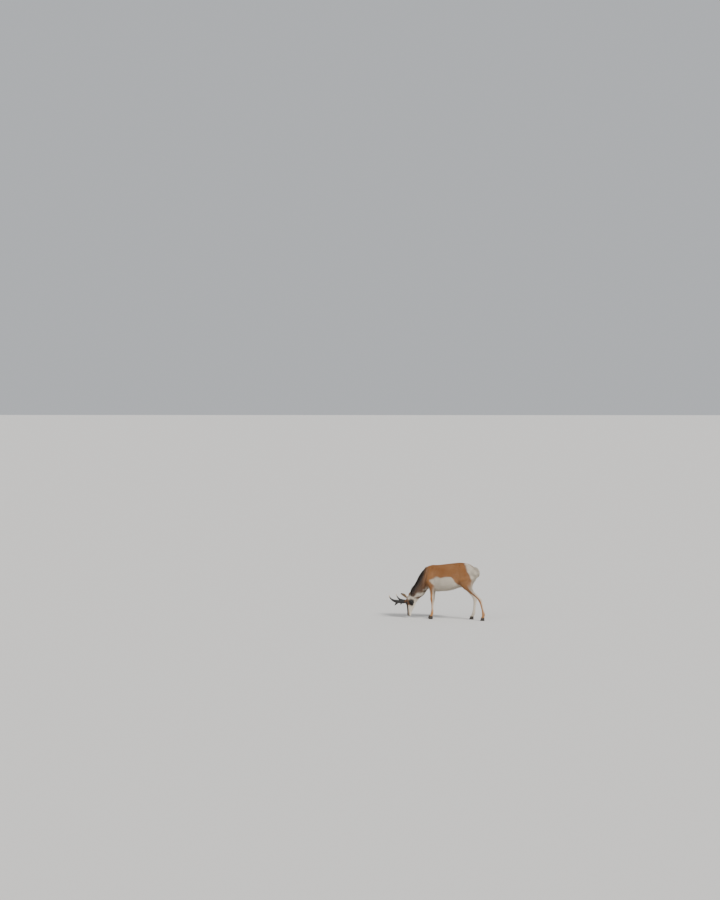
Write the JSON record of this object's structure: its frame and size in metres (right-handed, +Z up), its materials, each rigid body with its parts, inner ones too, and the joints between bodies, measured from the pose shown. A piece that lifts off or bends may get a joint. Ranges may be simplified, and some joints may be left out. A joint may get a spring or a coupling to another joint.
{
  "type": "pronghorn",
  "caption": "Life-size grazing pronghorn buck, a still display animal with head lowered, black pronged horns, tan coat, white rump and belly, standing on its hooves.",
  "frame": {"origin": "bottom centre of the bounding box, on the floor that the hooves stand on", "axes": "+Z up, -X is the way the animal faces, -Y is its left side"},
  "size_m": [1.6172, 0.3698, 0.9136],
  "materials": {
    "coat_tan": "short coarse orange-tan fur, white on belly, flank, throat bands and inner legs",
    "coat_dark": "dark brown neck fur with a blackish mane",
    "coat_face": "short face fur, dark mask, white cheek, crown and lips",
    "coat_white": "long white rump and tail hair",
    "skin": "bare dark skin of the nose, lips and lid rims",
    "eye": "wet, almost black eye",
    "horn": "black keratin sheath, rough at the base, smooth with ivory tips",
    "hoof": "black hoof keratin, satin"
  },
  "bodies": {
    "root": {"ear_left": "coat_tan", "ear_right": "coat_tan", "eye_left": "eye", "eye_right": "eye", "foreleg_left": "coat_tan", "foreleg_right": "coat_tan", "head": "coat_face", "hindleg_left": "coat_tan", "hindleg_right": "coat_tan", "hoof_foreleg_left_inner": "hoof", "hoof_foreleg_left_outer": "hoof", "hoof_foreleg_right_inner": "hoof", "hoof_foreleg_right_outer": "hoof", "hoof_hindleg_left_inner": "hoof", "hoof_hindleg_left_outer": "hoof", "hoof_hindleg_right_inner": "hoof", "hoof_hindleg_right_outer": "hoof", "horn_left": "horn", "horn_right": "horn", "neck": "coat_dark", "tail": "coat_white", "torso": "coat_tan"}
  },
  "joints": []
}
